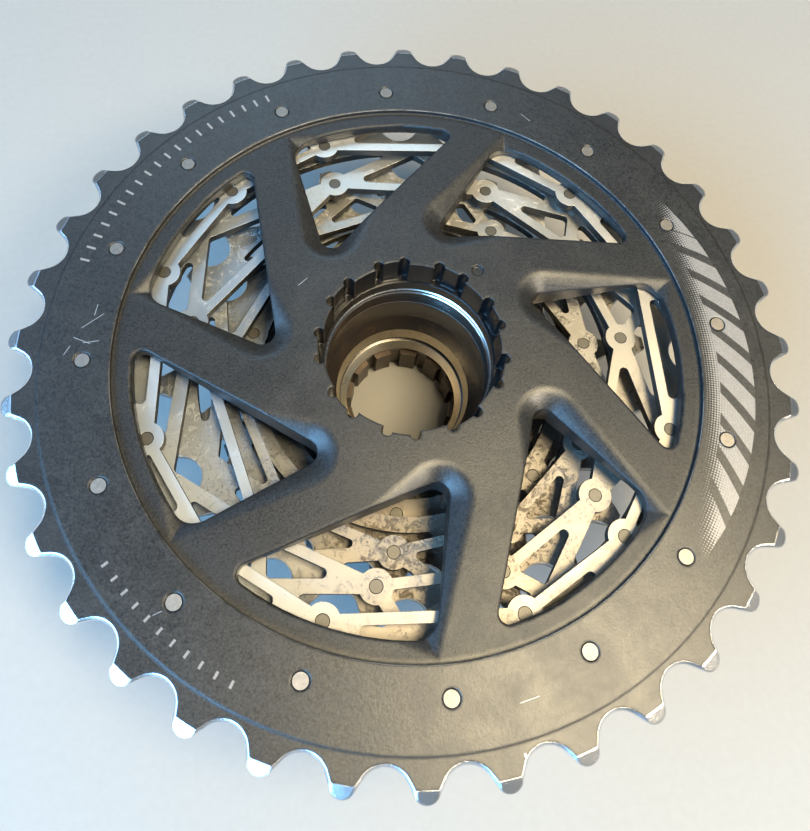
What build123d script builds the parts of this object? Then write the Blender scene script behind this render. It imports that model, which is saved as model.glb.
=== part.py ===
from build123d import *
import os
from math import sin, cos, pi, radians, hypot, sqrt, tan

os.makedirs("parts", exist_ok=True)

# Twelve-speed bicycle cassette, 10 to 36 teeth, lying on its smallest cog.
# Origin: centre of the outboard face of the 10-tooth cog.  +Z runs along the
# hub axle from the outboard (small cog) side to the inboard (large cog) side.

# ---------------------------------------------------------------- dimensions
CHAIN_PITCH = 12.7          # bicycle chain pitch
SEAT_R = 3.97               # roller seat radius
SEAT_ANGLE = 60.0           # half angle of the roller seat arc
TIP_RISE = 1.0              # tooth tip above the pitch circle
TIP_HALF = 1.25             # half width of the tooth tip
ROUND_DROP = 0.9            # a carrier tooth is rounded over this height
ROUND_HALF = 1.7            # and is this wide, each side, where it starts

COG_PITCH = 3.65            # axial spacing of neighbouring cogs
PLATE_T = 1.8               # thickness of a stamped steel cog
END_T = 2.0                 # thickness of the 10 and 11 tooth cogs
Z_TOP = END_T + 11 * COG_PITCH   # raised ring of the 36 tooth cog, 42.15

PIN_R = 1.4                 # joining pins, 36 to 32 teeth
PIN_R_LOW = 1.25            # joining pins further down
SHOULDER_R = 2.15           # pin shoulder that spaces two cogs
BOSS_R = 3.05               # boss around a pin hole
CHORD_OUT = 0.85            # half width of the bar between pins, outer side

# 36 tooth carrier
CAR_TEETH = 36
CAR_PHASE = 6.0             # angle of a tooth centre
CAR_STEP_R = 55.0           # inner edge of the raised flat ring
CAR_ZONE_R = 67.5           # outer edge of the raised flat ring
CAR_ZONE_DROP = 0.25
CAR_TOOTH_BOTTOM = 2.1
CAR_WEB_DROP = 1.0          # web and hub face below the raised ring
CAR_RIM_BOTTOM = 3.2
CAR_HUB_R = 22.6
CAR_HUB_BOTTOM = 13.5
CAR_PIN_R = 59.9
WINDOWS = 7
RAMP_PROFILE = [(0.0, 0.0), (0.5, 0.05), (1.0, 0.17), (1.5, 0.36), (2.1, 0.65),
                (2.8, 1.03), (5.9, 3.0)]
WEB_EDGE_R = 0.45            # rounded upper edge of a window
FLANK_CENTRE = (27.6, 8.2)  # round inner end of the sloping flank
FLANK_R = 6.4
FLANK_T1 = 82.0             # where its crest line leaves the round end
FLANK_T2 = 228.6            # where its closing line leaves the round end
FLANK_END = ((53.7, 10.9), (51.2, -1.0))
WIN_AB_Y = 10.3             # straight edge of a window, parallel to its arm
WIN_CA_ANGLE = -148.14      # direction of the inward normal of the other edge
WIN_CA_DIST = 25.0
WIN_OUTER_R = 51.5

# splined socket of the carrier
SPLINES = 9
SPLINE_PHASE = 17.89
LAND_R = 16.95
GROOVE_R = 17.75
RELIEF_R = 1.05
RELIEF_PCD_R = 17.56
RELIEF_HALF_ANGLE = 8.45
SPLINE_BOTTOM = 8.0
PILOT_R = 16.74             # plain pilot below the splines
PILOT_BOTTOM = 10.7
SNAP_GROOVE_R = 18.3
SNAP_GROOVE_BOTTOM = 11.8
SOCKET_R = 17.5

# lockring
TUBE_R = 17.45
TUBE_TOP = 12.0             # depth of its inboard end below the raised ring
TUBE_BORE_R = 16.53
TUBE_SMALL_R = 13.95
CLUSTER_BORE_R = 14.0
TOOL_NOTCHES = 12


def zd(depth):
    """Height of a depth below the raised ring of the 36 tooth cog."""
    return Z_TOP - depth


def pitch_r(n):
    return CHAIN_PITCH / (2 * sin(pi / n))


def root_r(n):
    return pitch_r(n) - SEAT_R


def pol(r, a):
    return (r * cos(radians(a)), r * sin(radians(a)))


def local(r, t, a):
    """Point r outwards along direction a and t sideways (anticlockwise)."""
    c, s = cos(radians(a)), sin(radians(a))
    return (r * c - t * s, r * s + t * c)


def inset(points, dists):
    """Convex anticlockwise polygon with each edge moved inwards."""
    n = len(points)
    lines = []
    for i in range(n):
        (x0, y0), (x1, y1) = points[i], points[(i + 1) % n]
        length = hypot(x1 - x0, y1 - y0)
        nx, ny = -(y1 - y0) / length, (x1 - x0) / length
        lines.append((nx, ny, nx * x0 + ny * y0 + dists[i]))
    out = []
    for i in range(n):
        a1, b1, c1 = lines[i - 1]
        a2, b2, c2 = lines[i]
        det = a1 * b2 - a2 * b1
        out.append(((c1 * b2 - c2 * b1) / det, (a1 * c2 - a2 * c1) / det))
    return out


def tooth_outline(n, phase, rise=TIP_RISE, rounded=False):
    """Closed toothed outline: round roller seats between narrow teeth."""
    rp = pitch_r(n)
    rt = rp + rise
    step = 360.0 / n
    c, s = cos(radians(SEAT_ANGLE)), sin(radians(SEAT_ANGLE))
    with BuildLine() as outline:
        for k in range(n):
            a = phase + k * step
            g = a + step / 2
            if rounded:
                half, rs = ROUND_HALF, rt - ROUND_DROP
            else:
                half, rs = TIP_HALF, rt
            tip0 = local(rs, -half, a)
            tip1 = local(rs, half, a)
            nxt = local(rs, -half, a + step)
            p0 = local(rp - SEAT_R * c, -SEAT_R * s, g)
            p1 = local(rp - SEAT_R, 0, g)
            p2 = local(rp - SEAT_R * c, SEAT_R * s, g)
            if rounded:
                ThreePointArc(tip0, local(rt, 0, a), tip1)
            else:
                Line(tip0, tip1)
            Line(tip1, p0)
            ThreePointArc(p0, p1, p2)
            Line(p2, nxt)
    with BuildSketch() as face:
        add(outline.line)
        make_face()
    return face.sketch


def toothed_plate(n, phase, z_top, t, rise=TIP_RISE, bevel=0.45, edge=0.0,
                  crown=None):
    """Toothed disc whose teeth are bevelled on both sides towards the tips.

    `edge` is the width of the chamfer milled along the upper toothed outline.
    `crown` gives rounded teeth with a steeper upper bevel: how far inside the
    pitch circle it starts, and how far it has dropped at the tip circle.
    """
    shape = tooth_outline(n, phase, rise, rounded=crown is not None)
    rp = pitch_r(n)
    inset, drop = crown if crown else (1.4, bevel * 1.15)
    reach = rise + 0.6
    if crown:
        drop = drop * (inset + reach) / (inset + rise)
    with BuildPart() as plate:
        with BuildSketch(Plane.XY.offset(z_top - t)):
            add(shape)
        extrude(amount=t, dir=(0, 0, 1))
        if edge:
            rims = plate.edges().group_by(Axis.Z)
            chamfer(rims[-1], edge)
            chamfer(plate.edges().group_by(Axis.Z)[0], 0.25)
        with BuildSketch(Plane.XZ):
            with BuildLine():
                Polyline((0, z_top - t), (rp - 1.4, z_top - t),
                         (rp + reach, z_top - t + bevel * 1.15),
                         (rp + reach, z_top - drop),
                         (rp - inset, z_top), (0, z_top), close=True)
            make_face()
        revolve(axis=Axis.Z, mode=Mode.INTERSECT)
    return plate.part


# --------------------------------------------------------- joining pin layout
# Every smaller cog is pinned to its larger neighbour through its own teeth, so
# the pins stand on its tooth centres.
def spaced(start, step, gaps):
    angles, a = [], start
    for g in gaps:
        angles.append(a)
        a -= g * step
    return angles


PHASE = {32: 90.0, 28: -22.3, 24: 1.7, 21: 3.2, 19: -46.4, 17: -99.0,
         15: -93.0, 13: -60.0, 12: 10.5, 11: 21.7, 10: -8.6}
PINS = {
    32: (CAR_PIN_R, [90 - 22.5 * k for k in range(16)]),
    28: (root_r(28) - 1.9, spaced(-22.3, 360 / 28, [2, 2, 3] * 4)),
    24: (root_r(24) - 1.4, spaced(1.7, 15.0, [3, 2, 2, 2, 4, 4, 3, 2, 2])),
    21: (root_r(21) - 1.8, spaced(3.2, 360 / 21, [2, 2, 2, 2, 3, 3, 2, 2, 3])),
    19: (root_r(19) - 1.9, spaced(-46.4, 360 / 19, [4, 4, 2, 2, 3, 4])),
    17: (root_r(17) - 1.9, spaced(-99.0, 360 / 17, [1, 3, 2, 2, 3, 3, 3])),
    15: (root_r(15) - 1.9, spaced(-93.0, 24.0, [2, 3, 2, 3, 2, 3])),
    13: (root_r(13) - 1.9, spaced(-60.0, 360 / 13, [3, 2, 3, 2, 3])),
}
ORDER = [36, 32, 28, 24, 21, 19, 17, 15, 13, 12, 11, 10]


def top_of(n):
    return Z_TOP - COG_PITCH * ORDER.index(n)


# ------------------------------------------------------------ 36 tooth carrier
def carrier_window(index):
    """Seven swept windows between the arms, each a rounded triangle."""
    turn = 360.0 / WINDOWS * index
    nx, ny = cos(radians(WIN_CA_ANGLE)), sin(radians(WIN_CA_ANGLE))
    # corner A, where the two straight edges meet near the hub
    ax = (-WIN_CA_DIST - ny * WIN_AB_Y) / nx
    far = 70.0
    # direction along the second straight edge, pointing outwards
    ux, uy = -ny, nx
    if ux * 1 + uy * -1 < 0:
        ux, uy = -ux, -uy
    with BuildSketch() as win:
        with BuildLine():
            Polyline((ax, WIN_AB_Y), (ax + ux * far, WIN_AB_Y + uy * far),
                     (far, WIN_AB_Y), close=True)
        make_face()
        Circle(WIN_OUTER_R, mode=Mode.INTERSECT)
        corners = win.vertices().sort_by(lambda v: hypot(v.X, v.Y))
        fillet(corners[0], 2.4)
        corners = win.vertices().sort_by(lambda v: hypot(v.X, v.Y))[-2:]
        upper = [v for v in corners if v.Y > 0]
        fillet(upper, 4.2)
        lower = [v for v in win.vertices()
                 if v.Y < -20 and abs(hypot(v.X, v.Y) - WIN_OUTER_R) < 0.01]
        fillet(lower, 1.7)
    with BuildSketch() as placed:
        with Locations(Location((0, 0, 0), (0, 0, turn))):
            add(win.sketch)
    return placed.sketch


def ramp_section(moved):
    """Outline of a sloping flank, its soft edges moved inwards by `moved`."""
    r = FLANK_R - moved
    cx, cy = FLANK_CENTRE
    # crest line, tangent to the round inner end
    t1 = (cx + r * cos(radians(FLANK_T1)), cy + r * sin(radians(FLANK_T1)))
    d1 = (cos(radians(FLANK_T1 - 90)), sin(radians(FLANK_T1 - 90)))
    # closing line, which meets the other straight window edge at a low angle
    t2 = (cx + r * cos(radians(FLANK_T2)), cy + r * sin(radians(FLANK_T2)))
    d2 = (cos(radians(FLANK_T2 + 90)), sin(radians(FLANK_T2 + 90)))
    q = (t2[0] + d2[0] * 14.5, t2[1] + d2[1] * 14.5)
    # outer end line, moved inwards
    (ax, ay), (bx, by) = FLANK_END
    length = hypot(bx - ax, by - ay)
    ex, ey = (bx - ax) / length, (by - ay) / length
    ox, oy = ax + ey * moved, ay - ex * moved
    det = d1[0] * ey - d1[1] * ex
    k = ((ox - t1[0]) * ey - (oy - t1[1]) * ex) / det
    p1 = (t1[0] + d1[0] * k, t1[1] + d1[1] * k)
    p2 = (ox + ex * length, oy + ey * length)
    mid = (cx + r * cos(radians((FLANK_T1 + FLANK_T2) / 2)),
           cy + r * sin(radians((FLANK_T1 + FLANK_T2) / 2)))
    n1 = (39.5, -0.2)
    n2 = (44.0, 1.5)
    return p1, t1, mid, t2, q, n1, n2, p2


def ramp_cutter(index):
    """Long sloping flank that falls from the arm to the window edge.

    Its crest is rolled off softly: stacked outlines, each moved further in.
    """
    turn = 360.0 / WINDOWS * index
    z = zd(CAR_WEB_DROP)
    with BuildPart() as cutter:
        for moved, depth in RAMP_PROFILE:
            p1, t1, mid, t2, q, n1, n2, p2 = ramp_section(moved)
            with BuildSketch(Plane.XY.offset(z - depth)):
                with BuildLine():
                    Line(p1, t1)
                    ThreePointArc(t1, mid, t2)
                    Polyline(t2, q, n1, n2, p2, p1)
                make_face()
        loft(ruled=True)
    with BuildPart() as placed:
        with Locations(Location((0, 0, 0), (0, 0, turn))):
            add(cutter.part)
    return placed.part


windows = [carrier_window(i) for i in range(WINDOWS)]
ramps = [ramp_cutter(i) for i in range(WINDOWS)]
carrier_teeth = toothed_plate(CAR_TEETH, CAR_PHASE, zd(CAR_ZONE_DROP),
                              CAR_TOOTH_BOTTOM - CAR_ZONE_DROP, rise=0.9,
                              bevel=0.3, edge=0.5, crown=(1.15, 0.85))

with BuildPart() as toothed_rim:
    add(carrier_teeth)
    with BuildSketch(Plane.XY.offset(zd(0) + 1)):
        Circle(66.0)
    extrude(amount=-5, mode=Mode.SUBTRACT)

with BuildPart() as sprocket_36:
    # turned blank: raised ring, recessed web, conical underside, deep hub
    with BuildSketch(Plane.XZ):
        with BuildLine():
            Polyline((LAND_R, zd(CAR_WEB_DROP)),
                     (CAR_STEP_R, zd(CAR_WEB_DROP)),
                     (CAR_STEP_R, zd(0.12)),
                     (CAR_STEP_R + 0.12, zd(0)),
                     (CAR_ZONE_R - 0.1, zd(0)),
                     (CAR_ZONE_R, zd(0.1)),
                     (CAR_ZONE_R, zd(CAR_TOOTH_BOTTOM)),
                     (56.2, zd(CAR_TOOTH_BOTTOM)),
                     (56.2, zd(CAR_RIM_BOTTOM)),
                     (46.4, zd(CAR_RIM_BOTTOM)),
                     (25.0, zd(9.2)),
                     (CAR_HUB_R, zd(10.2)),
                     (CAR_HUB_R, zd(CAR_HUB_BOTTOM - 0.8)),
                     (CAR_HUB_R - 0.8, zd(CAR_HUB_BOTTOM)),
                     (SOCKET_R, zd(CAR_HUB_BOTTOM)),
                     (SOCKET_R, zd(SNAP_GROOVE_BOTTOM)),
                     (SNAP_GROOVE_R, zd(SNAP_GROOVE_BOTTOM)),
                     (SNAP_GROOVE_R, zd(PILOT_BOTTOM)),
                     (PILOT_R, zd(PILOT_BOTTOM)),
                     (PILOT_R, zd(SPLINE_BOTTOM)),
                     (LAND_R, zd(SPLINE_BOTTOM)), close=True)
        make_face()
    revolve(axis=Axis.Z)
    # windows through the web, with rounded upper edges
    with BuildSketch(Plane.XY.offset(zd(0) + 1)):
        for w in windows:
            add(w)
    extrude(amount=-20, mode=Mode.SUBTRACT)
    web_edges = [e for e in sprocket_36.edges()
                 if all(abs(v.Z - zd(CAR_WEB_DROP)) < 1e-3
                        and 20 < hypot(v.X, v.Y) < 51.6 for v in e.vertices())
                 and abs(e.center().Z - zd(CAR_WEB_DROP)) < 1e-3]
    fillet(web_edges, WEB_EDGE_R)
    # sloping flanks beside the windows
    for r in ramps:
        add(r, mode=Mode.SUBTRACT)
    # toothed rim
    add(toothed_rim.part)
    # splined socket: nine blind grooves with round corner reliefs
    with BuildSketch(Plane.XY.offset(zd(0) + 1)):
        for k in range(SPLINES):
            a = SPLINE_PHASE + 360.0 / SPLINES * k
            with BuildLine():
                l0 = Line(pol(LAND_R - 2, a - 7.6), pol(GROOVE_R, a - 7.6))
                l1 = ThreePointArc(l0 @ 1, pol(GROOVE_R, a), pol(GROOVE_R, a + 7.6))
                l2 = Line(l1 @ 1, pol(LAND_R - 2, a + 7.6))
                Line(l2 @ 1, l0 @ 0)
            make_face()
            with Locations(pol(RELIEF_PCD_R, a - RELIEF_HALF_ANGLE),
                           pol(RELIEF_PCD_R, a + RELIEF_HALF_ANGLE)):
                Circle(RELIEF_R)
    extrude(amount=-(SPLINE_BOTTOM + 1), mode=Mode.SUBTRACT)
    # pin holes with a fine countersink, and the drilled balance dimple
    with Locations(*[(*pol(CAR_PIN_R, a), zd(0)) for a in PINS[32][1]]):
        CounterSinkHole(PIN_R, PIN_R + 0.16, depth=4, counter_sink_angle=90)
    with Locations((14.6, 14.9, zd(CAR_WEB_DROP))):
        Hole(1.15, depth=0.45)
sprocket_36.part.label = "sprocket_36"
export_step(sprocket_36.part, "parts/sprocket_36.step")


# -------------------------------------------------------- stamped steel cogs
def truss_holes(bosses, boss_r, pitch_deg, ring_in, leg_w, lean, corner):
    """Openings of a truss that joins the pin bosses to the toothed ring.

    From each boss one leg leans clockwise over `lean` teeth and one steep leg
    meets the neighbour's leaning leg on the ring.
    """
    apex_r = ring_in + 0.7
    n = len(bosses)
    holes = []
    for i in range(n):
        here, nxt, prev = bosses[i], bosses[(i + 1) % n], bosses[i - 1]
        while nxt > here:
            nxt -= 360
        while prev < here:
            prev += 360
        apex = here - lean * pitch_deg
        apex_prev = prev - lean * pitch_deg
        h, x, y = pol(boss_r, here), pol(boss_r, nxt), pol(apex_r, apex)
        w = leg_w / 2
        holes.append(inset([x, y, h], [w, w, CHORD_OUT]))
        # fan above the boss, closed by the ring
        y0, y1 = pol(apex_r, apex), pol(apex_r, apex_prev)
        o0, o1 = pol(apex_r + 12, apex), pol(apex_r + 12, apex_prev)
        holes.append(inset([h, y0, o0, o1, y1], [w, 0.0, 0.0, 0.0, w]))
    out = []
    for pts in holes:
        area = sum(pts[k - 1][0] * pts[k][1] - pts[k][0] * pts[k - 1][1]
                   for k in range(len(pts))) / 2
        if area < 2.0:
            continue
        with BuildSketch() as hole:
            with BuildLine():
                Polyline(*pts, close=True)
            make_face()
            Circle(ring_in, mode=Mode.INTERSECT)
        face = hole.sketch
        if face.area < 2.5:
            continue
        for r in (corner, corner * 0.7, corner * 0.45):
            try:
                with BuildSketch() as soft:
                    add(face)
                    fillet(soft.vertices(), r)
                face = soft.sketch
                break
            except Exception:
                continue
        out.append(face)
    return out


def slot_holes(bosses, radius, width, clear_deg):
    """Curved slots between neighbouring pin bosses."""
    n = len(bosses)
    spans = []
    for i in range(n):
        here, nxt = bosses[i], bosses[(i + 1) % n]
        while nxt >= here:
            nxt -= 360
        parts = max(1, round((here - nxt) / 40))
        each = (here - nxt) / parts
        for k in range(parts):
            # a plain web bar is narrower than a boss
            low = clear_deg if k == parts - 1 else clear_deg * 0.6
            high = clear_deg if k == 0 else clear_deg * 0.6
            top = here - k * each
            spans.append((top - each + low, top - high))
    out = []
    for a0, a1 in spans:
        outer_r, inner_r = radius + width / 2, radius - width / 2
        mid = (a0 + a1) / 2
        cap = 57.3 * width / 2 / radius
        with BuildSketch() as slot:
            with BuildLine():
                ThreePointArc(pol(outer_r, a0), pol(outer_r, mid), pol(outer_r, a1))
                ThreePointArc(pol(outer_r, a1), pol(radius, a1 + cap), pol(inner_r, a1))
                ThreePointArc(pol(inner_r, a1), pol(inner_r, mid), pol(inner_r, a0))
                ThreePointArc(pol(inner_r, a0), pol(radius, a0 - cap), pol(outer_r, a0))
            make_face()
        out.append(slot.sketch)
    return out


def ramp_pockets(n, z_bottom, count, first):
    """Shift ramps: shallow slanted pockets in the outboard face."""
    with BuildPart() as pockets:
        for k in range(count):
            a = first + round(k * n / count) * 360.0 / n
            plane = Plane(origin=(*pol(root_r(n) - 0.3, a), z_bottom),
                          x_dir=(*pol(1, a + 62), 0), z_dir=(0, 0, 1))
            with BuildSketch(plane.offset(-0.5)):
                SlotOverall(7.2, 3.0)
            extrude(amount=0.5 + 0.55)
    return pockets.part


def steel_cog(n, smaller, style, rise=TIP_RISE):
    """Stamped cog with pin holes to both neighbours and an open web."""
    z_top = top_of(n)
    out_r, out_angles = PINS[n]
    in_r, in_angles = PINS[smaller]
    out_pin = PIN_R if n == 32 else PIN_R_LOW
    holes = []
    if style["web"] == "truss":
        ring_in = root_r(n) - style["ring"]
        inner = inset([pol(in_r, a) for a in in_angles[::-1]],
                      [style["bar"]] * len(in_angles))
        holes = truss_holes(in_angles, in_r, 360.0 / smaller, ring_in,
                            style["leg"], style["lean"], style["corner"])
    else:
        holes = slot_holes(in_angles, style["slot_r"], style["slot_w"],
                           style["clear"])
    plate = toothed_plate(n, PHASE[n], z_top, PLATE_T, rise, edge=0.25)
    with BuildPart() as cog:
        add(plate)
        with BuildSketch(Plane.XY.offset(z_top + 1)):
            if style["web"] == "truss":
                with BuildLine():
                    Polyline(*inner, close=True)
                make_face()
            else:
                Circle(in_r - style["inner"])
            for h in holes:
                add(h)
        extrude(amount=-(PLATE_T + 2), mode=Mode.SUBTRACT)
        with BuildSketch(Plane.XY.offset(z_top - PLATE_T)):
            with Locations(*[pol(in_r, a) for a in in_angles]):
                Circle(BOSS_R)
        extrude(amount=PLATE_T)
        with BuildSketch(Plane.XY.offset(z_top + 1)):
            with Locations(*[pol(in_r, a) for a in in_angles]):
                Circle(PIN_R_LOW)
            with Locations(*[pol(out_r, a) for a in out_angles]):
                Circle(out_pin)
        extrude(amount=-(PLATE_T + 2), mode=Mode.SUBTRACT)
        add(ramp_pockets(n, z_top - PLATE_T, style["ramps"],
                         PHASE[n] + 180.0 / n), mode=Mode.SUBTRACT)
    cog.part.label = f"sprocket_{n}"
    export_step(cog.part, f"parts/sprocket_{n}.step")
    return cog


STYLES = {
    32: dict(web="truss", ring=3.4, bar=1.05, leg=2.3, lean=1.55, corner=1.0, ramps=4),
    28: dict(web="truss", ring=3.2, bar=1.05, leg=2.5, lean=1.55, corner=0.9, ramps=4),
    24: dict(web="truss", ring=3.0, bar=1.05, leg=2.5, lean=1.3, corner=0.8, ramps=4),
    21: dict(web="slot", inner=2.9, slot_r=35.0 - 1.3, slot_w=1.9, clear=7.5, ramps=3),
    19: dict(web="slot", inner=2.9, slot_r=30.6, slot_w=2.1, clear=8.5, ramps=3),
    17: dict(web="slot", inner=2.9, slot_r=26.4, slot_w=2.1, clear=9.5, ramps=3),
    15: dict(web="slot", inner=2.7, slot_r=22.4, slot_w=1.8, clear=11.0, ramps=2),
}
sprocket_32 = steel_cog(32, 28, STYLES[32])
sprocket_28 = steel_cog(28, 24, STYLES[28])
sprocket_24 = steel_cog(24, 21, STYLES[24])
sprocket_21 = steel_cog(21, 19, STYLES[21])
sprocket_19 = steel_cog(19, 17, STYLES[19])
sprocket_17 = steel_cog(17, 15, STYLES[17])
sprocket_15 = steel_cog(15, 13, STYLES[15])


# ------------------------------------------- small cogs, machined in one piece
small_plates = [toothed_plate(13, PHASE[13], top_of(13), PLATE_T, edge=0.25),
                toothed_plate(12, PHASE[12], top_of(12), PLATE_T, edge=0.25),
                toothed_plate(11, PHASE[11], top_of(11), END_T, rise=1.2, edge=0.25),
                toothed_plate(10, PHASE[10], top_of(10), END_T, rise=1.2, edge=0.25)]
CLUSTER_TOP = top_of(13)
with BuildPart() as small_cog_cluster:
    for p in small_plates:
        add(p)
    # core between the cogs
    with BuildSketch(Plane.XZ):
        with BuildLine():
            Polyline((0, 0.2), (root_r(10) - 0.5, 0.2),
                     (root_r(10) - 0.5, top_of(11) - END_T + 0.1),
                     (root_r(11) - 0.5, top_of(11) - 0.1),
                     (root_r(11) - 0.5, top_of(12) - PLATE_T + 0.1),
                     (root_r(12) - 0.6, top_of(12) - 0.1),
                     (root_r(12) - 0.6, top_of(13) - 0.1),
                     (0, top_of(13) - 0.1), close=True)
        make_face()
    revolve(axis=Axis.Z)
    # bore: counterbore for the lockring flange, bearing, then a wide relief
    with BuildSketch(Plane.XZ):
        with BuildLine():
            Polyline((0, -1), (15.45, -1), (15.45, 1.8), (CLUSTER_BORE_R, 1.8),
                     (CLUSTER_BORE_R, 8.6), (16.3, 11.8),
                     (16.3, CLUSTER_TOP + 1), (0, CLUSTER_TOP + 1), close=True)
        make_face()
    revolve(axis=Axis.Z, mode=Mode.SUBTRACT)
    # blind-side pin holes of the 13 tooth cog
    with BuildSketch(Plane.XY.offset(CLUSTER_TOP + 1)):
        with Locations(*[pol(PINS[13][0], a) for a in PINS[13][1]]):
            Circle(PIN_R_LOW)
    extrude(amount=-(PLATE_T + 1), mode=Mode.SUBTRACT)
small_cog_cluster.part.label = "small_cog_cluster"
export_step(small_cog_cluster.part, "parts/small_cog_cluster.step")


# ---------------------------------------------------------------- joining pins
def pin_group(larger, smaller, radius):
    """Shouldered pins that join two cogs and set the space between them."""
    r, angles = PINS[smaller]
    spots = [pol(r, a) for a in angles]
    z_low = top_of(smaller) - PLATE_T
    z_high = top_of(larger)
    if larger == 36:
        gap_top = zd(CAR_TOOTH_BOTTOM)
    else:
        gap_top = top_of(larger) - PLATE_T
    with BuildPart() as group:
        with BuildSketch(Plane.XY.offset(z_low)):
            with Locations(*spots):
                Circle(radius)
        extrude(amount=z_high - z_low)
        ends = group.edges().filter_by(GeomType.CIRCLE)
        chamfer(ends, 0.12)
        with BuildSketch(Plane.XY.offset(top_of(smaller))):
            with Locations(*spots):
                Circle(SHOULDER_R)
        extrude(amount=gap_top - top_of(smaller))
    name = f"pins_{larger}_{smaller}"
    group.part.label = name
    export_step(group.part, f"parts/{name}.step")
    return group


pins_36_32 = pin_group(36, 32, PIN_R)
pins_32_28 = pin_group(32, 28, PIN_R_LOW)
pins_28_24 = pin_group(28, 24, PIN_R_LOW)
pins_24_21 = pin_group(24, 21, PIN_R_LOW)
pins_21_19 = pin_group(21, 19, PIN_R_LOW)
pins_19_17 = pin_group(19, 17, PIN_R_LOW)
pins_17_15 = pin_group(17, 15, PIN_R_LOW)
pins_15_13 = pin_group(15, 13, PIN_R_LOW)


# -------------------------------------------------------------------- lockring
# stepped tube that turns inside the cassette; threaded at its inboard end
TUBE_BOTTOM = 1.28
thread = []
for k in range(5):
    d = 12.9 + 0.8 * k
    thread += [(TUBE_BORE_R, zd(d)), (TUBE_BORE_R + 0.32, zd(d + 0.4))]
thread.append((TUBE_BORE_R, zd(12.9 + 4.0)))
with BuildPart() as lockring_tube:
    with BuildSketch(Plane.XZ):
        with BuildLine():
            Polyline((TUBE_R - 0.25, zd(TUBE_TOP)), (TUBE_BORE_R + 0.25, zd(TUBE_TOP)),
                     (TUBE_BORE_R, zd(TUBE_TOP + 0.25)), *thread,
                     (TUBE_BORE_R, zd(23.5)), (14.6, zd(26.8)), (13.9, zd(29.7)),
                     (14.15, zd(29.9)), (14.15, zd(30.8)),
                     (13.64, zd(31.0)), (12.3, zd(32.4)), (12.3, 8.6),
                     (12.9, 8.4), (12.9, TUBE_BOTTOM),
                     (TUBE_SMALL_R, TUBE_BOTTOM), (TUBE_SMALL_R, 9.15),
                     (15.6, 12.15), (15.6, 14.55), (TUBE_R, 17.65),
                     (TUBE_R, zd(TUBE_TOP + 0.25)), close=True)
        make_face()
    revolve(axis=Axis.Z)
lockring_tube.part.label = "lockring_tube"
export_step(lockring_tube.part, "parts/lockring_tube.step")

# flanged insert with the tool notches, pressed into the tube
with BuildPart() as lockring_tool_flange:
    with BuildSketch(Plane.XZ):
        with BuildLine():
            Polyline((11.3, 0.6), (11.6, 0.3), (15.2, 0.3), (15.4, 0.5),
                     (15.4, TUBE_BOTTOM), (12.9, TUBE_BOTTOM), (12.9, 8.4),
                     (11.3, 8.4), close=True)
        make_face()
    revolve(axis=Axis.Z)
    with BuildSketch(Plane.XY.offset(-1)):
        with PolarLocations(11.7, TOOL_NOTCHES):
            Rectangle(1.7, 2.3)
    extrude(amount=12, mode=Mode.SUBTRACT)
lockring_tool_flange.part.label = "lockring_tool_flange"
export_step(lockring_tool_flange.part, "parts/lockring_tool_flange.step")

# thrust washer between the lockring flange and the 10 tooth cog
with BuildPart() as thrust_washer:
    with BuildSketch(Plane.XY.offset(1.32)):
        Circle(15.4)
        Circle(14.05, mode=Mode.SUBTRACT)
    extrude(amount=1.8 - 1.32)
thrust_washer.part.label = "thrust_washer"
export_step(thrust_washer.part, "parts/thrust_washer.step")

# sprung retaining ring above the tube, in the groove of the carrier hub
with BuildPart() as retaining_ring:
    with BuildSketch(Plane.XY.offset(zd(11.72))):
        Circle(SNAP_GROOVE_R)
        Circle(16.54, mode=Mode.SUBTRACT)
        with Locations(Location((0, 0, 0), (0, 0, -70))):
            with Locations((17.5, 0)):
                Rectangle(4, 4.5, mode=Mode.SUBTRACT)
    extrude(amount=0.94)
    outer = retaining_ring.edges().filter_by(GeomType.CIRCLE).sort_by(SortBy.RADIUS)
    chamfer(outer[:2], 0.2)
retaining_ring.part.label = "retaining_ring"
export_step(retaining_ring.part, "parts/retaining_ring.step")

for made in (sprocket_36, sprocket_32, sprocket_28, sprocket_24, sprocket_21,
             sprocket_19, sprocket_17, sprocket_15, small_cog_cluster,
             lockring_tube, lockring_tool_flange, thrust_washer, retaining_ring):
    print(made.part.label, made.part.is_valid, len(made.part.solids()),
          round(made.part.volume, 1))
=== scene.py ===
import math
import random

import bpy
from mathutils import Matrix, Vector


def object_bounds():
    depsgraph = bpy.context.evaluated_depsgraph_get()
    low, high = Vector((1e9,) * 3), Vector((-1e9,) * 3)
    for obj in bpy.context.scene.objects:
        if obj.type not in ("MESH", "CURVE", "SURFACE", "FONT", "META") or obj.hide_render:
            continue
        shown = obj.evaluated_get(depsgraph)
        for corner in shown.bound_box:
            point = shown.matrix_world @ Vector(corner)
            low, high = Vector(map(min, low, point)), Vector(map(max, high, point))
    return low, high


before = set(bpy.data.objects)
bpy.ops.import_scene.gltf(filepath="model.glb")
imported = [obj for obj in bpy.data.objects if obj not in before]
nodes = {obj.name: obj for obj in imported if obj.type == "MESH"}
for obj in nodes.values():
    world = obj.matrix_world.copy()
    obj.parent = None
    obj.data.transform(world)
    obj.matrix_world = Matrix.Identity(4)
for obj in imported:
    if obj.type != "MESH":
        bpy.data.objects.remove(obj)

CAD_BOX = [list(v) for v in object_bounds()]
lo, hi = Vector(CAD_BOX[0]), Vector(CAD_BOX[1])
Z_TOP = hi.z                       # raised ring of the 36 tooth cog
MM = 0.001


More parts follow.
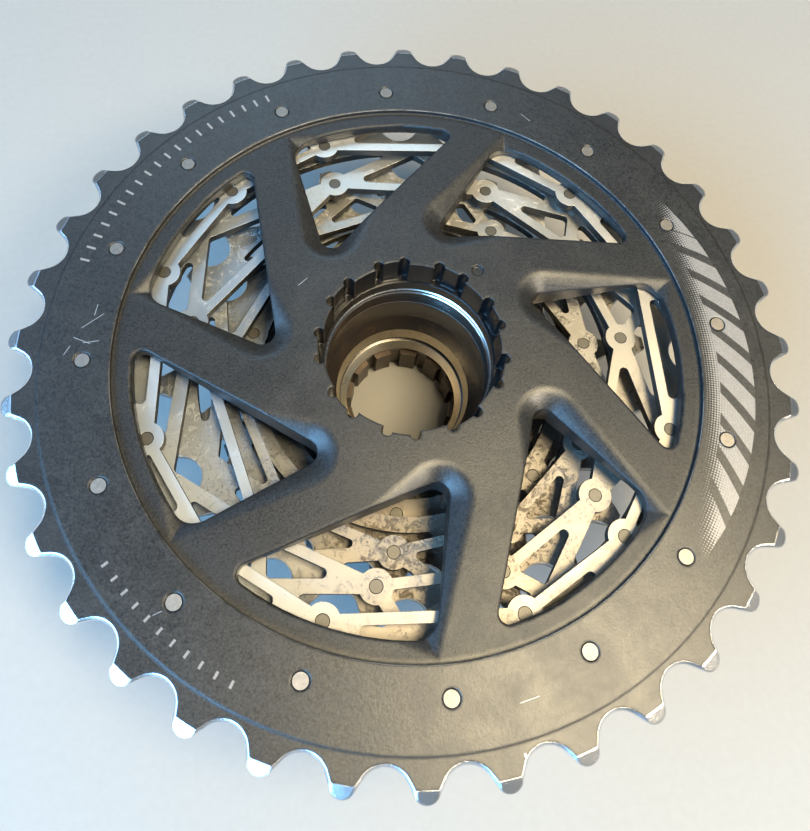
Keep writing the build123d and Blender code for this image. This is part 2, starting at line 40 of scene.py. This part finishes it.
# ------------------------------------------------------------------ node tools
class Mat:
    """Small helper that builds one procedural material."""

    def __init__(self, name):
        self.mat = bpy.data.materials.new(name)
        self.mat.use_nodes = True
        self.nt = self.mat.node_tree
        self.nt.nodes.clear()
        self.out = self.nt.nodes.new("ShaderNodeOutputMaterial")
        self.bsdf = self.nt.nodes.new("ShaderNodeBsdfPrincipled")
        self.nt.links.new(self.bsdf.outputs[0], self.out.inputs[0])
        tc = self.nt.nodes.new("ShaderNodeTexCoord")
        sc = self.nt.nodes.new("ShaderNodeVectorMath")
        sc.operation = "SCALE"
        sc.inputs["Scale"].default_value = 1000.0
        self.nt.links.new(tc.outputs["Object"], sc.inputs[0])
        self.p = sc.outputs[0]      # position in millimetres
        self.tc = tc
        sep = self.nt.nodes.new("ShaderNodeSeparateXYZ")
        self.nt.links.new(self.p, sep.inputs[0])
        self.x, self.y, self.z = sep.outputs
        nsep = self.nt.nodes.new("ShaderNodeSeparateXYZ")
        self.nt.links.new(tc.outputs["Normal"], nsep.inputs[0])
        self.nx, self.ny, self.nz = nsep.outputs

    def put(self, socket, value):
        if isinstance(value, (int, float)):
            socket.default_value = value
        elif isinstance(value, (tuple, list)):
            socket.default_value = value
        else:
            self.nt.links.new(value, socket)

    def math(self, op, a, b=None, c=None, clamp=False):
        n = self.nt.nodes.new("ShaderNodeMath")
        n.operation = op
        n.use_clamp = clamp
        self.put(n.inputs[0], a)
        if b is not None:
            self.put(n.inputs[1], b)
        if c is not None:
            self.put(n.inputs[2], c)
        return n.outputs[0]

    def add(self, a, b): return self.math("ADD", a, b)
    def sub(self, a, b): return self.math("SUBTRACT", a, b)
    def mul(self, a, b): return self.math("MULTIPLY", a, b)
    def mx(self, a, b): return self.math("MAXIMUM", a, b)
    def mn(self, a, b): return self.math("MINIMUM", a, b)

    def step(self, v, a, b):
        """0 below a, 1 above b, smooth between (also when b < a)."""
        n = self.nt.nodes.new("ShaderNodeMapRange")
        n.interpolation_type = "SMOOTHSTEP"
        self.put(n.inputs[0], v)
        if a < b:
            n.inputs[1].default_value, n.inputs[2].default_value = a, b
            n.inputs[3].default_value, n.inputs[4].default_value = 0.0, 1.0
        else:
            n.inputs[1].default_value, n.inputs[2].default_value = b, a
            n.inputs[3].default_value, n.inputs[4].default_value = 1.0, 0.0
        return n.outputs[0]

    def band(self, v, a, b, soft):
        return self.mul(self.step(v, a - soft, a + soft), self.step(v, b + soft, b - soft))

    def radius(self):
        return self.math("SQRT", self.add(self.mul(self.x, self.x), self.mul(self.y, self.y)))

    def angle(self):
        """Degrees, -180 to 180, anticlockwise from +X."""
        return self.mul(self.math("ARCTAN2", self.y, self.x), 57.29578)

    def noise(self, scale, detail=2.0, rough=0.5, vec=None, stretch=None, distortion=0.0):
        v = vec or self.p
        if stretch:
            m = self.nt.nodes.new("ShaderNodeMapping")
            m.inputs["Scale"].default_value = stretch
            self.nt.links.new(v, m.inputs[0])
            v = m.outputs[0]
        n = self.nt.nodes.new("ShaderNodeTexNoise")
        n.inputs["Scale"].default_value = scale
        n.inputs["Detail"].default_value = detail
        n.inputs["Roughness"].default_value = rough
        n.inputs["Distortion"].default_value = distortion
        self.nt.links.new(v, n.inputs["Vector"])
        return n.outputs[0]

    def voronoi(self, scale, feature="F1", vec=None):
        n = self.nt.nodes.new("ShaderNodeTexVoronoi")
        n.feature = feature
        n.inputs["Scale"].default_value = scale
        self.nt.links.new(vec or self.p, n.inputs["Vector"])
        return n

    def combine(self, x, y, z):
        n = self.nt.nodes.new("ShaderNodeCombineXYZ")
        self.put(n.inputs[0], x)
        self.put(n.inputs[1], y)
        self.put(n.inputs[2], z)
        return n.outputs[0]

    def mix(self, f, a, b):
        n = self.nt.nodes.new("ShaderNodeMix")
        n.data_type = "RGBA"
        self.put(n.inputs[0], f)
        for s, v in ((n.inputs[6], a), (n.inputs[7], b)):
            if isinstance(v, (tuple, list)):
                s.default_value = (*v, 1.0) if len(v) == 3 else v
            else:
                self.nt.links.new(v, s)
        return n.outputs[2]

    def lerp(self, f, a, b):
        n = self.nt.nodes.new("ShaderNodeMix")
        n.data_type = "FLOAT"
        self.put(n.inputs[0], f)
        self.put(n.inputs[2], a)
        self.put(n.inputs[3], b)
        return n.outputs[0]

    def bump(self, height, dist_mm, strength=1.0, normal=None):
        n = self.nt.nodes.new("ShaderNodeBump")
        n.inputs["Strength"].default_value = strength
        n.inputs["Distance"].default_value = dist_mm * MM
        self.put(n.inputs["Height"], height)
        if normal is not None:
            self.nt.links.new(normal, n.inputs["Normal"])
        return n.outputs[0]

    def soft_edges(self, radius_mm, samples=4):
        """Rounded-edge normal, so that sharp edges catch the light."""
        n = self.nt.nodes.new("ShaderNodeBevel")
        n.samples = samples
        n.inputs["Radius"].default_value = radius_mm * MM
        return n.outputs[0]

    def finish(self, color, rough, metal, normal=None, coat=None, coat_rough=None, spec=None):
        b = self.bsdf
        if isinstance(color, (tuple, list)):
            b.inputs["Base Color"].default_value = (*color, 1.0)
        else:
            self.nt.links.new(color, b.inputs["Base Color"])
        self.put(b.inputs["Roughness"], rough)
        self.put(b.inputs["Metallic"], metal)
        if normal is not None:
            self.nt.links.new(normal, b.inputs["Normal"])
        if coat is not None:
            self.put(b.inputs["Coat Weight"], coat)
        if coat_rough is not None:
            self.put(b.inputs["Coat Roughness"], coat_rough)
        if spec is not None:
            self.put(b.inputs["Specular IOR Level"], spec)
        return self.mat


# ------------------------------------------------------------------- materials
def segment(m, x0, y0, x1, y1, width):
    """Mask of a thin straight scratch on the flat face."""
    dx, dy = x1 - x0, y1 - y0
    length = math.hypot(dx, dy)
    ux, uy = dx / length, dy / length
    ax = m.sub(m.x, x0)
    ay = m.sub(m.y, y0)
    along = m.add(m.mul(ax, ux), m.mul(ay, uy))
    across = m.math("ABSOLUTE", m.add(m.mul(ax, -uy), m.mul(ay, ux)))
    return m.mul(m.step(across, width, width * 0.4), m.band(along, 0.0, length, 0.15))


def carrier_material():
    m = Mat("carrier_black_anodised")
    r, a = m.radius(), m.angle()
    up = m.math("ABSOLUTE", m.nz)
    # bead-blasted grain at two sizes, and cloudy handling marks
    grain = m.noise(2.6, 4.0, 0.72)
    coarse = m.noise(0.9, 4.0, 0.68)
    cloud = m.noise(0.045, 4.0, 0.6)
    smear = m.noise(0.12, 5.0, 0.7, distortion=0.6)
    base = m.mix(m.step(grain, 0.25, 0.75), (0.004, 0.0046, 0.0056), (0.034, 0.0345, 0.035))
    base = m.mix(m.mul(m.step(coarse, 0.35, 0.7), 0.35), base, (0.040, 0.040, 0.038))
    base = m.mix(m.mul(m.step(cloud, 0.45, 0.75), 0.35), base, (0.022, 0.0235, 0.026))
    # thin bright wear where the coating is rubbed off at the turned edges
    worn = m.mx(m.band(r, 55.0, 55.12, 0.05), m.mul(m.band(r, 67.42, 67.5, 0.05), 0.25))
    worn = m.mul(worn, m.mul(m.step(up, 0.2, 0.9), m.step(smear, 0.35, 0.62)))
    base = m.mix(m.mul(worn, 0.5), base, (0.30, 0.32, 0.34))
    # fine scratches on the raised ring
    marks = None
    rng = random.Random(7)
    for cx, cy, ang, ln in ((-60.5, 6.4, 35, 4.6), (-61.8, 4.6, -25, 3.4), (-58.4, 8.8, 78, 2.4),
                            (-63.2, 1.2, 60, 2.0), (-60.0, 3.4, 5, 2.8), (-45.5, -44.0, 20, 1.5),
                            (31.0, 51.0, 130, 2.6), (10.5, -61.5, 12, 3.2), (-21.0, 13.5, 40, 2.4)):
        d = math.radians(ang)
        s = segment(m, cx, cy, cx + ln * math.cos(d), cy + ln * math.sin(d), 0.085)
        marks = s if marks is None else m.mx(marks, s)
    base = m.mix(m.mul(marks, m.lerp(coarse, 0.25, 0.9)), base, (0.40, 0.42, 0.45))
    # generic graphic on the ring: a pale field that fades into fine dots on its
    # inner side, crossed by dark slanted bars
    lat_r = m.mul(m.sub(r, 55.0), 1.0 / 0.50)
    lat_a = m.mul(m.mul(a, 61.0 * math.pi / 180.0), 1.0 / 0.50)
    fr = m.sub(m.math("FRACT", lat_r), 0.5)
    fa = m.sub(m.math("FRACT", lat_a), 0.5)
    dot = m.math("SQRT", m.add(m.mul(fr, fr), m.mul(fa, fa)))
    edge_in = m.add(55.2, m.mul(m.mul(m.sub(a, -8.0), m.sub(a, -8.0)), 0.0045))
    edge_out = m.sub(64.9, m.mul(m.mul(m.sub(a, -8.0), m.sub(a, -8.0)), 0.0018))
    depth_in = m.sub(r, edge_in)
    fade = m.mul(m.step(depth_in, -1.6, 4.2), m.mul(m.band(a, -42.0, 27.0, 4.5), m.step(m.sub(edge_out, r), 0.0, 0.08)))
    size = m.mul(fade, 0.62)
    dots = m.mul(m.math("LESS_THAN", dot, size), m.step(fade, 0.02, 0.08))
    base_flat = m.step(up, 0.93, 0.99)
    on_ring = m.mul(base_flat, m.mul(m.step(m.z, Z_TOP * 1000 - 0.06, Z_TOP * 1000 - 0.02), m.step(r, 55.3, 55.5)))
    slant = m.add(a, m.mul(m.sub(r, 61.0), 0.95))
    bar = m.math("FRACT", m.mul(slant, 1.0 / 6.1))
    bars = m.mul(m.band(bar, 0.30, 0.66, 0.012),
                 m.mul(m.step(r, 58.2, 58.3), m.band(slant, -38.0, 20.5, 0.15)))
    ink = m.mul(on_ring, m.mul(dots, m.sub(1.0, m.mul(bars, 0.93))))
    ink = m.mul(ink, 0.85)
    # plain graduation on the upper left of the ring
    tick = m.math("FRACT", m.mul(a, 1.0 / 2.5))
    long_tick = m.math("FRACT", m.mul(m.add(a, 0.0), 1.0 / 12.5))
    ticks = m.mul(m.band(tick, 0.42, 0.58, 0.02),
                  m.mul(m.band(a, 112.0, 163.0, 0.05), m.band(r, 63.6, 65.4, 0.05)))
    ink = m.mx(ink, m.mul(on_ring, m.mul(ticks, 0.9)))
    ticks2 = m.mul(m.band(tick, 0.42, 0.58, 0.02),
                   m.mul(m.band(a, -148.5, -121.0, 0.05), m.band(r, 63.6, 64.8, 0.05)))
    ink = m.mx(ink, m.mul(on_ring, m.mul(ticks2, 0.8)))
    # white timing mark on the tooth zone
    mark = m.mul(segment(m, 10.2, -68.3, 10.85, -70.3, 0.2), base_flat)
    ink_col = m.mix(grain, (0.13, 0.122, 0.115), (0.32, 0.305, 0.29))
    base = m.mix(ink, base, ink_col)
    base = m.mix(mark, base, (0.9, 0.9, 0.88))
    # bare metal where the teeth were cut after anodising
    bare = m.mul(m.step(r, 67.75, 67.85), m.step(up, 0.985, 0.95))
    # the splined socket is finished glossy and darker
    socket = m.mul(m.step(r, 18.75, 18.65), m.step(m.z, Z_TOP * 1000 - 1.1, Z_TOP * 1000 - 1.25))
    silver = m.mix(m.noise(0.9, 4.0, 0.6), (0.84, 0.86, 0.90), (0.97, 0.97, 0.98))
    cutter = m.noise(3.0, 2.0, 0.5, stretch=(0.3, 0.3, 9.0))
    silver = m.mix(m.mul(cutter, 0.25), silver, (0.55, 0.57, 0.60))
    col = m.mix(bare, base, silver)
    col = m.mix(socket, col, (0.012, 0.012, 0.013))
    rough = m.lerp(m.step(smear, 0.3, 0.7), 0.33, 0.42)
    rough = m.add(rough, m.mul(m.sub(grain, 0.5), 0.26))
    rough = m.lerp(ink, rough, 0.45)
    rough = m.lerp(bare, rough, 0.24)
    rough = m.lerp(socket, rough, 0.17)
    metal = m.lerp(bare, m.lerp(ink, 0.45, 0.3), 1.0)
    n1 = m.bump(grain, 0.035, 0.8, m.soft_edges(0.60))
    n2 = m.bump(coarse, 0.05, 0.35, n1)
    n3 = m.bump(marks, -0.02, 0.5, n2)
    # the swept arms are blasted duller than the turned ring
    arm = m.mul(m.step(r, 24.0, 36.0), m.step(r, 54.6, 53.8))
    return m.finish(col, m.add(rough, m.mul(arm, 0.03)), metal, n3, spec=m.lerp(arm, 0.75, 0.46))


def steel_material(name, warm, dirt, depth_shade=1.0, seed=0.0, web_r=0.0):
    """Satin plated steel with fine stamping grain and grime, painted highlights on edge facets, a painted sky
    reflection towards the top and left, and painted shade on web walls and deeper cogs.
    """
    m = Mat(name)
    off = m.nt.nodes.new("ShaderNodeVectorMath")
    off.operation = "ADD"
    off.inputs[1].default_value = (seed * 13.7, seed * 7.1, seed * 3.3)
    m.nt.links.new(m.p, off.inputs[0])
    q = off.outputs[0]
    r = m.radius()
    up = m.math("ABSOLUTE", m.nz)
    grain = m.noise(4.0, 4.0, 0.6, vec=q)
    fine = m.noise(14.0, 2.0, 0.6, vec=q, stretch=(1.0, 0.22, 1.0))
    cloud = m.noise(0.09, 4.0, 0.62, vec=q, distortion=0.5)
    spots = m.noise(0.55, 5.0, 0.72, vec=q, distortion=0.8)
    # depth_shade is painted shade: every colour of a cog deeper in the stack is darkened
    c0 = tuple(c * depth_shade for c in warm)
    c1 = tuple(min(1.0, c * depth_shade * 1.14) for c in warm)
    col = m.mix(grain, c0, c1)
    col = m.mix(m.mul(m.step(cloud, 0.4, 0.7), 0.30), col, (0.50 * depth_shade, 0.46 * depth_shade, 0.40 * depth_shade))
    # grime that collects in patches
    deep = 0.045 if dirt > 0.7 else 0.0
    grime = m.mul(m.step(spots, 0.54 - deep, 0.68 - deep), m.step(cloud, 0.38 - deep, 0.56 - deep))
    grime = m.mul(grime, dirt)
    col = m.mix(grime, col, (0.050, 0.040, 0.028))
    # darker, browner colour and higher roughness towards the bottom (-y)
    south = m.step(m.y, 12.0, -34.0)
    col = m.mix(m.mul(south, 0.48), col, (0.18, 0.142, 0.10))
    # painted sky reflection: brighter, more neutral colour towards the top (+y)
    sky_reflection_north = m.step(m.y, 8.0, 40.0)
    col = m.mix(m.mul(sky_reflection_north, 0.7), col, (0.66 * depth_shade, 0.65 * depth_shade, 0.61 * depth_shade))
    # painted sky reflection: cooler, bluer colour towards the left (-x)
    sky_reflection_west = m.step(m.x, -8.0, -38.0)
    col = m.mix(m.mul(sky_reflection_west, 0.75), col, (0.38 * depth_shade, 0.42 * depth_shade, 0.46 * depth_shade))
    specks = m.noise(1.9, 4.0, 0.75, vec=q)
    specks = m.mul(m.step(specks, 0.58, 0.66), m.mul(m.step(cloud, 0.36, 0.58), dirt * 0.75))
    col = m.mix(specks, col, (0.035, 0.028, 0.020))
    grime = m.mx(grime, specks)
    # sheared edges are rougher, and their darker colour is partly the sheared finish and partly painted shade; inside
    # the web the side walls are painted nearly black, which is painted shade
    side = m.step(up, 0.5, 0.2)
    shear = m.noise(2.2, 3.0, 0.6, vec=q, stretch=(2.0, 2.0, 0.35))
    web_wall_shade = m.mul(side, m.step(r, web_r, web_r - 0.6))
    col = m.mix(m.mul(side, 0.38), col, m.mix(shear, (0.20, 0.18, 0.16), (0.52, 0.50, 0.46)))
    col = m.mix(m.mul(web_wall_shade, 0.96), col, m.mix(shear, (0.006, 0.006, 0.006), (0.030, 0.026, 0.022)))
    # painted highlight: broken-edge facets brightened towards near white
    chamfer_highlight = m.band(up, 0.55, 0.9, 0.05)
    col = m.mix(m.mul(chamfer_highlight, 0.45), col, (0.92, 0.91, 0.88))
    rough = m.lerp(grain, 0.34, 0.46)
    rough = m.add(rough, m.mul(south, 0.12))
    rough = m.lerp(m.step(cloud, 0.35, 0.7), rough, m.add(rough, 0.08))
    rough = m.lerp(grime, rough, 0.75)
    rough = m.lerp(m.mul(side, 0.6), rough, 0.5)
    metal = m.mul(m.lerp(grime, 1.0, 0.15), m.lerp(web_wall_shade, 1.0, 0.5))
    n1 = m.bump(fine, 0.010, 0.55, m.soft_edges(0.12))
    n2 = m.bump(grain, 0.02, 0.35, n1)
    n3 = m.bump(grime, 0.08, 0.6, n2)
    return m.finish(col, rough, metal, n3)


def pin_material():
    m = Mat("pin_steel_ground")
    grain = m.noise(7.0, 3.0, 0.6)
    swirl = m.noise(1.3, 3.0, 0.6)
    up = m.math("ABSOLUTE", m.nz)
    col = m.mix(grain, (0.075, 0.072, 0.064), (0.17, 0.16, 0.14))
    col = m.mix(m.mul(m.step(swirl, 0.5, 0.7), 0.4), col, (0.10, 0.09, 0.075))
    end = m.step(m.z, Z_TOP * 1000 - 0.3, Z_TOP * 1000 - 0.1)
    col = m.mix(end, col, m.mix(swirl, (0.155, 0.148, 0.138), (0.31, 0.29, 0.265)))
    # painted shade: the tilted edge facets around the pin end are nearly black
    col = m.mix(m.band(up, 0.3, 0.95, 0.03), col, (0.03, 0.03, 0.03))
    rough = m.lerp(grain, 0.44, 0.60)
    return m.finish(col, rough, 1.0, m.bump(grain, 0.02, 0.6))


def tube_material():
    m = Mat("lockring_gloss_black")
    r = m.radius()
    streak = m.noise(3.2, 3.0, 0.55, stretch=(0.25, 0.25, 7.0))
    grain = m.noise(6.0, 2.0, 0.5)
    cloud = m.noise(0.16, 4.0, 0.65, distortion=0.5)
    col = m.mix(streak, (0.012, 0.010, 0.009), (0.040, 0.030, 0.024))
    col = m.mix(m.mul(m.step(cloud, 0.5, 0.72), 0.5), col, (0.060, 0.040, 0.026))
    zt = Z_TOP * 1000
    inner = m.step(r, 15.2, 14.9)
    ledge = m.mx(m.band(m.z, zt - 29.8, zt - 26.85, 0.06), m.band(m.z, zt - 32.45, zt - 31.0, 0.06))
    ledge = m.mul(ledge, inner)
    tan = m.mix(m.noise(1.2, 4.0, 0.6), (0.60, 0.52, 0.38), (0.78, 0.70, 0.55))
    tan = m.mix(m.mul(m.step(cloud, 0.5, 0.7), 0.35), tan, (0.28, 0.22, 0.15))
    col = m.mix(ledge, col, tan)
    # painted highlights: thin bright lines on the rim and below the thread
    crest_highlight = m.mul(m.band(m.z, zt - 16.75, zt - 16.55, 0.04), m.step(r, 16.75, 16.7))
    col = m.mix(m.mul(crest_highlight, 0.7), col, (0.50, 0.46, 0.40))
    rim_highlight = m.mul(m.step(m.z, zt - 12.3, zt - 12.2), m.band(r, 16.4, 16.72, 0.03))
    col = m.mix(m.mul(rim_highlight, 0.85), col, (0.62, 0.60, 0.57))
    rough = m.lerp(streak, 0.16, 0.27)
    rough = m.lerp(ledge, rough, 0.36)
    metal = m.lerp(m.mx(ledge, m.mx(rim_highlight, m.mul(crest_highlight, 0.7))), 0.35, 1.0)
    n1 = m.bump(streak, 0.015, 0.5)
    n2 = m.bump(grain, 0.006, 0.3, n1)
    return m.finish(col, rough, metal, n2, coat=m.lerp(ledge, 0.25, 0.0), coat_rough=0.12)


def flange_material():
    m = Mat("lockring_flange_dark")
    grain = m.noise(5.0, 3.0, 0.6)
    cloud = m.noise(0.25, 4.0, 0.6)
    up = m.math("ABSOLUTE", m.nz)
    col = m.mix(grain, (0.030, 0.020, 0.014), (0.075, 0.052, 0.036))
    col = m.mix(m.mul(m.step(cloud, 0.5, 0.7), 0.5), col, (0.10, 0.075, 0.05))
    # painted highlight: tilted edge facets brightened towards pale grey
    col = m.mix(m.mul(m.band(up, 0.3, 0.9, 0.05), 0.7), col, (0.5, 0.47, 0.42))
    rings = m.math("FRACT", m.mul(m.radius(), 1.0 / 0.22))
    rough = m.lerp(grain, 0.28, 0.42)
    return m.finish(col, rough, 0.6, m.bump(m.add(m.mul(rings, 0.5), grain), 0.01, 0.5))


def bronze_material():
    m = Mat("washer_bronze")
    grain = m.noise(4.0, 3.0, 0.6)
    col = m.mix(grain, (0.36, 0.24, 0.11), (0.58, 0.42, 0.22))
    return m.finish(col, m.lerp(grain, 0.3, 0.45), 1.0, m.bump(grain, 0.01, 0.5))


def ring_material():
    m = Mat("ring_spring_steel")
    grain = m.noise(5.0, 3.0, 0.6)
    up = m.math("ABSOLUTE", m.nz)
    col = m.mix(grain, (0.07, 0.07, 0.075), (0.16, 0.16, 0.165))
    # painted highlight: tilted edge facets brightened towards near white
    col = m.mix(m.band(up, 0.3, 0.95, 0.03), col, (0.75, 0.74, 0.72))
    return m.finish(col, m.lerp(grain, 0.22, 0.34), 1.0, m.bump(grain, 0.01, 0.5))


def assign(name, mat):
    ob = nodes[name]
    if not ob.material_slots:
        ob.data.materials.append(mat)
    for s in ob.material_slots:
        s.material = mat


assign("sprocket_36", carrier_material())
TINT = (0.47, 0.45, 0.415)
DIRT = {32: 0.25, 28: 0.55, 24: 0.95, 21: 0.95, 19: 1.0, 17: 1.0, 15: 0.9}
# the fourth argument is painted shade: each cog deeper in the stack is darkened by 0.82 per step, the small cog cluster
# by 0.92
for k, n in enumerate((32, 28, 24, 21, 19, 17, 15)):
    root = 6.35 / math.sin(math.pi / n) - 3.97
    assign(f"sprocket_{n}", steel_material(f"cog_steel_{n}", TINT, DIRT[n], 0.82 ** k, k + 1.0, root - 0.9))
assign("small_cog_cluster", steel_material("cluster_steel", (0.66, 0.63, 0.58), 0.5, 0.92, 11.0, 20.0))
pins_mat = pin_material()
for name in nodes:
    if name.startswith("pins_"):
        assign(name, pins_mat)
assign("lockring_tube", tube_material())
assign("lockring_tool_flange", flange_material())
assign("thrust_washer", bronze_material())
assign("retaining_ring", ring_material())

# ------------------------------------------------------------------------ stage
floor_mesh = bpy.data.meshes.new("floor")
S = 2.5
floor_mesh.from_pydata([(-S, -S, 0), (S, -S, 0), (S, S, 0), (-S, S, 0)], [], [(0, 1, 2, 3)])
floor = bpy.data.objects.new("floor", floor_mesh)
bpy.context.scene.collection.objects.link(floor)
fm = Mat("floor_pale")
speck = fm.noise(0.6, 3.0, 0.5)
fcol = fm.mix(speck, (0.240, 0.231, 0.214), (0.270, 0.260, 0.242))
fm.finish(fcol, 0.62, 0.0)
nt = fm.nt
geo = nt.nodes.new("ShaderNodeNewGeometry")
tr = nt.nodes.new("ShaderNodeBsdfTransparent")
mixs = nt.nodes.new("ShaderNodeMixShader")
nt.links.new(geo.outputs["Backfacing"], mixs.inputs[0])
nt.links.new(fm.bsdf.outputs[0], mixs.inputs[1])
nt.links.new(tr.outputs[0], mixs.inputs[2])
nt.links.new(mixs.outputs[0], fm.out.inputs[0])
floor_mesh.materials.append(fm.mat)
floor.location.z = -0.00005

# ---------------------------------------------------------------------- lights
world = bpy.data.worlds.new("studio")
bpy.context.scene.world = world
world.use_nodes = True
wn = world.node_tree
bg = wn.nodes["Background"]
bg.inputs[0].default_value = (0.80, 0.92, 1.0, 1.0)
bg.inputs[1].default_value = 0.15


def area(name, loc, target, size, power, color):
    data = bpy.data.lights.new(name, "AREA")
    data.shape = "RECTANGLE"
    data.size, data.size_y = size
    data.energy = power
    data.color = color
    ob = bpy.data.objects.new(name, data)
    bpy.context.scene.collection.objects.link(ob)
    ob.location = loc
    ob.rotation_mode = "QUATERNION"
    ob.rotation_quaternion = (Vector(target) - Vector(loc)).to_track_quat("-Z", "Y")
    return ob


def aim(az, el, dist):
    a, e = math.radians(az), math.radians(el)
    return (dist * math.cos(e) * math.cos(a), dist * math.cos(e) * math.sin(a), 0.03 + dist * math.sin(e))


C = (0, 0, 0.03)
area("sky_left", aim(150, 42, 0.75), C, (0.34, 0.34), 0.9, (0.26, 0.56, 1.0))
area("sky_back", aim(95, 44, 0.85), C, (0.55, 0.28), 1.9, (0.50, 0.76, 1.0))
area("window_low", aim(206, 36, 0.80), C, (0.80, 0.38), 15.0, (0.26, 0.58, 1.0))
area("key_sun", aim(-38, 48, 0.85), C, (0.20, 0.20), 6.8, (1.0, 0.86, 0.66))
area("sheen_top", aim(-25, 72, 0.80), (0.02, -0.045, 0.04), (0.34, 0.24), 10.8, (1.0, 0.82, 0.51))
area("edge_glow", aim(232, 24, 0.80), C, (0.36, 0.22), 7.0, (0.18, 0.54, 1.0))

# ---------------------------------------------------------------------- camera
CAM_F = 714.58
RP = 0.0599
R_VEC = (2.72026580, -0.102862465, 0.113653721)
T_VEC = (0.0565538767, 0.0275473211, 2.23389622)
PP = (395.0, 332.5)
th = math.sqrt(sum(v * v for v in R_VEC))
rot = Matrix.Rotation(th, 3, Vector(R_VEC) / th)
cam_pos = -(rot.transposed() @ Vector(T_VEC)) * RP
right, down, forward = rot[0], rot[1], rot[2]
cam_data = bpy.data.cameras.new("camera")
cam = bpy.data.objects.new("camera", cam_data)
bpy.context.scene.collection.objects.link(cam)
m4 = Matrix.Identity(4)
for i in range(3):
    m4[i][0] = right[i]
    m4[i][1] = -down[i]
    m4[i][2] = -forward[i]
    m4[i][3] = cam_pos[i]
m4[2][3] += Z_TOP
cam.matrix_world = m4
cam_data.sensor_width = 36.0
cam_data.lens = CAM_F * 36.0 / 831.0
cam_data.shift_x = (405.0 - PP[0]) / 831.0
cam_data.shift_y = (PP[1] - 415.5) / 831.0
cam_data.clip_start = 0.005
bpy.context.scene.camera = cam
bpy.context.scene.view_settings.view_transform = "Standard"
